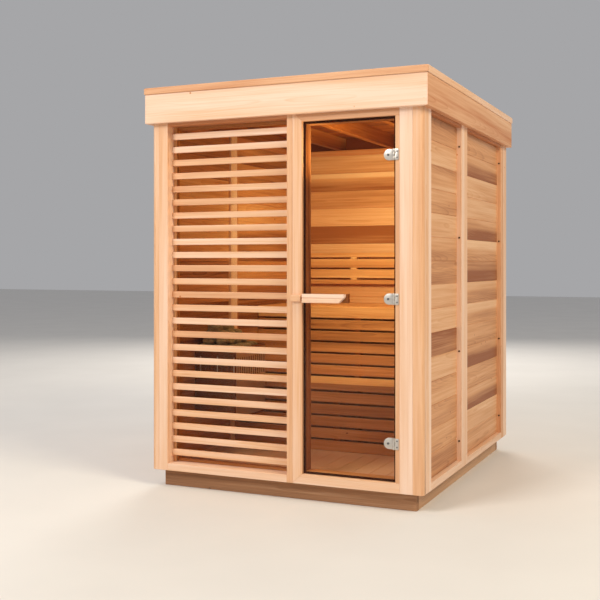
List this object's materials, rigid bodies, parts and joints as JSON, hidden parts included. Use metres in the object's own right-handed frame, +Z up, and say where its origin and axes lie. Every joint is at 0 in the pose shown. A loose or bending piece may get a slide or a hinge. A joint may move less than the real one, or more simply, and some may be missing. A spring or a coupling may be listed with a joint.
{
  "type": "cube sauna",
  "caption": "Cedar cube sauna cabin with a louvred window bay, a glass door, slatted benches and a wall heater.",
  "frame": {"origin": "on the ground at the centre of the walls' plan", "axes": "+X to the right along the front wall, +Y from the front to the back, +Z up"},
  "size_m": [1.592, 1.897, 2.148],
  "materials": {
    "cedar_light": "planed, oiled, pale",
    "cedar": "planed, oiled",
    "cedar_dark": "planed, oiled, deep tone",
    "treated_timber": "sawn, treated",
    "clear_glass": "clear, lightly tinted",
    "stainless": "satin",
    "seal_rubber": "matt",
    "heater_housing": "heat-proof matt",
    "heater_stone": "rough, split",
    "roofing": "matt membrane"
  },
  "bodies": {
    "cabin": {"base_cross_beams": "treated_timber", "base_side_beams": "treated_timber", "floor_joists": "treated_timber", "floor_deck": "cedar", "front_corner_posts": "cedar_light", "front_stiles": "cedar_light", "front_plates": "cedar_light", "louver_slats": "cedar_light", "louver_cleats": "cedar", "window_glass": "clear_glass", "window_beads": "cedar", "door_jambs": "cedar_light", "door_head_sill": "cedar_light", "door_seal": "seal_rubber", "latch_keeper": "cedar_light", "hinge_frame_leaves": "stainless", "right_wall_studs": "cedar_light", "right_wall_rails": "cedar_light", "right_wall_boards": "cedar", "left_wall_studs": "cedar_light", "left_wall_rails": "cedar_light", "left_wall_boards": "cedar", "back_wall_studs": "cedar_light", "back_wall_rails": "cedar_light", "back_wall_boards": "cedar", "roof_rafters": "cedar", "roof_deck": "cedar", "roof_covering": "roofing", "fascia_front_rear": "cedar_light", "fascia_sides": "cedar_light", "roof_cap_front_rear": "cedar_light", "roof_cap_sides": "cedar_light", "lower_bench_boards": "cedar_dark", "upper_bench_boards": "cedar_dark", "bench_skirts": "cedar_dark", "bench_frames": "cedar_dark", "backrest_slats": "cedar_dark", "backrest_battens": "cedar_dark", "heater_body": "heater_housing", "heater_bracket": "stainless", "heater_stones": "heater_stone"},
    "door": {"door_glass": "clear_glass", "hinge_glass_plates": "stainless", "door_handles": "cedar_light"}
  },
  "joints": [
    {"name": "door_hinge", "type": "hinge", "parent": "cabin", "child": "door", "pos_m": [0.612, -0.9165, 1.03], "axis": [0, 0, 1], "range_deg": [0, 110]}
  ]
}
